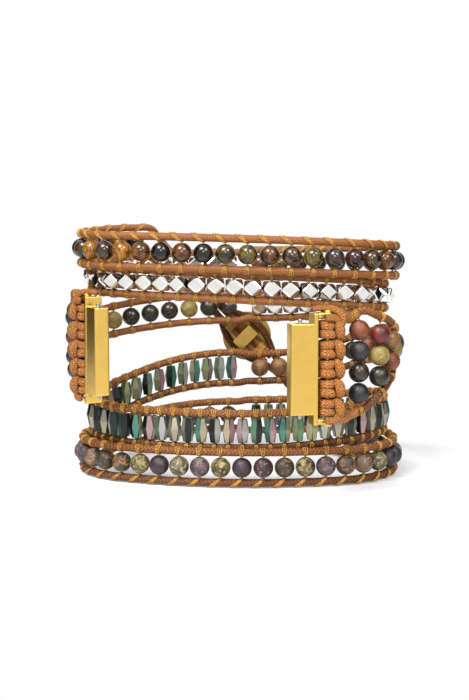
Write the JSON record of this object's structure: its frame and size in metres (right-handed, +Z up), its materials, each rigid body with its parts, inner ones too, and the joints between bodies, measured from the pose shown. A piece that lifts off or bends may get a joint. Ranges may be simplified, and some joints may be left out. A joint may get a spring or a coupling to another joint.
{
  "type": "watch band",
  "caption": "Beaded wrap band for a watch: two strands of beads laced between leather cords, with gold connectors and spring bars, closed by a button and loop.",
  "frame": {"origin": "on the ground below the middle of the band's box, as it stands wound on its lowest row", "axes": "+Z up along the wrist, from the lowest row to the highest; -Y towards the watch, which the camera sees; +X to the viewer's right, the longest extent"},
  "size_m": [0.0726, 0.0638, 0.0538],
  "materials": {
    "leather_cord": "smooth round leather, sienna brown",
    "lacing_thread": "waxed, golden ochre",
    "tiger_eye": "polished stone, banded brown and gold",
    "silver_nugget": "bright facets",
    "rainbow_stone": "oil-slick lustre on polished facets",
    "picture_jasper": "polished stone, grey, olive and mauve",
    "jasper": "polished stone, brown, red and olive",
    "knot_cord": "waxed braid, camel",
    "gold_metal": "satin gold plate",
    "bar_steel": "bright drawn steel",
    "button_metal": "satin, a little worn"
  },
  "bodies": {
    "band": {"upper_strand_top_cord": "leather_cord", "upper_strand_bottom_cord": "leather_cord", "lower_strand_top_cord": "leather_cord", "lower_strand_bottom_cord": "leather_cord", "tiger_eye_beads": "tiger_eye", "tiger_eye_lacing": "lacing_thread", "silver_nugget_beads": "silver_nugget", "silver_nugget_lacing": "lacing_thread", "rainbow_spindle_beads": "rainbow_stone", "rainbow_spindle_lacing": "lacing_thread", "picture_jasper_beads": "picture_jasper", "picture_jasper_lacing": "lacing_thread", "left_jasper_beads": "jasper", "left_jasper_lacing": "lacing_thread", "right_jasper_beads": "jasper", "right_jasper_lacing": "lacing_thread", "right_knot_cord": "knot_cord", "right_knot_bights": "knot_cord", "left_knot_cord": "knot_cord", "left_knot_bights": "knot_cord", "button": "button_metal", "button_whippings": "lacing_thread", "loop_whippings": "lacing_thread"},
    "right_connector": {"right_connector_body": "gold_metal", "right_screw_bar": "gold_metal", "right_upper_bar_screw": "gold_metal", "right_lower_bar_screw": "gold_metal", "right_spring_bar_tube": "bar_steel", "right_bar_spring": "bar_steel"},
    "right_upper_plunger": {"right_upper_plunger": "bar_steel"},
    "right_lower_plunger": {"right_lower_plunger": "bar_steel"},
    "left_connector": {"left_connector_body": "gold_metal", "left_screw_bar": "gold_metal", "left_upper_bar_screw": "gold_metal", "left_lower_bar_screw": "gold_metal", "left_spring_bar_tube": "bar_steel", "left_bar_spring": "bar_steel"},
    "left_upper_plunger": {"left_upper_plunger": "bar_steel"},
    "left_lower_plunger": {"left_lower_plunger": "bar_steel"}
  },
  "joints": [
    {"name": "right_connector_swivel", "type": "hinge", "parent": "band", "child": "right_connector", "pos_m": [0.02032, -0.02775, 0.0259], "axis": [0, 0, 1], "range_deg": [-30, 30]},
    {"name": "right_upper_plunger_slide", "type": "slide", "parent": "right_connector", "child": "right_upper_plunger", "axis": [0, 0, -1], "range_m": [0, 0.0011], "stiffness_N_per_m": 1000, "springref_m": -0.0003, "deforming": ["right_bar_spring"]},
    {"name": "right_lower_plunger_slide", "type": "slide", "parent": "right_connector", "child": "right_lower_plunger", "axis": [0, 0, 1], "range_m": [0, 0.0011], "stiffness_N_per_m": 1000, "springref_m": -0.0003, "deforming": ["right_bar_spring"]},
    {"name": "left_connector_swivel", "type": "hinge", "parent": "band", "child": "left_connector", "pos_m": [-0.02931, -0.01622, 0.0282], "axis": [0, 0, 1], "range_deg": [-30, 30]},
    {"name": "left_upper_plunger_slide", "type": "slide", "parent": "left_connector", "child": "left_upper_plunger", "axis": [0, 0, -1], "range_m": [0, 0.0011], "stiffness_N_per_m": 1000, "springref_m": -0.0003, "deforming": ["left_bar_spring"]},
    {"name": "left_lower_plunger_slide", "type": "slide", "parent": "left_connector", "child": "left_lower_plunger", "axis": [0, 0, 1], "range_m": [0, 0.0011], "stiffness_N_per_m": 1000, "springref_m": -0.0003, "deforming": ["left_bar_spring"]}
  ]
}
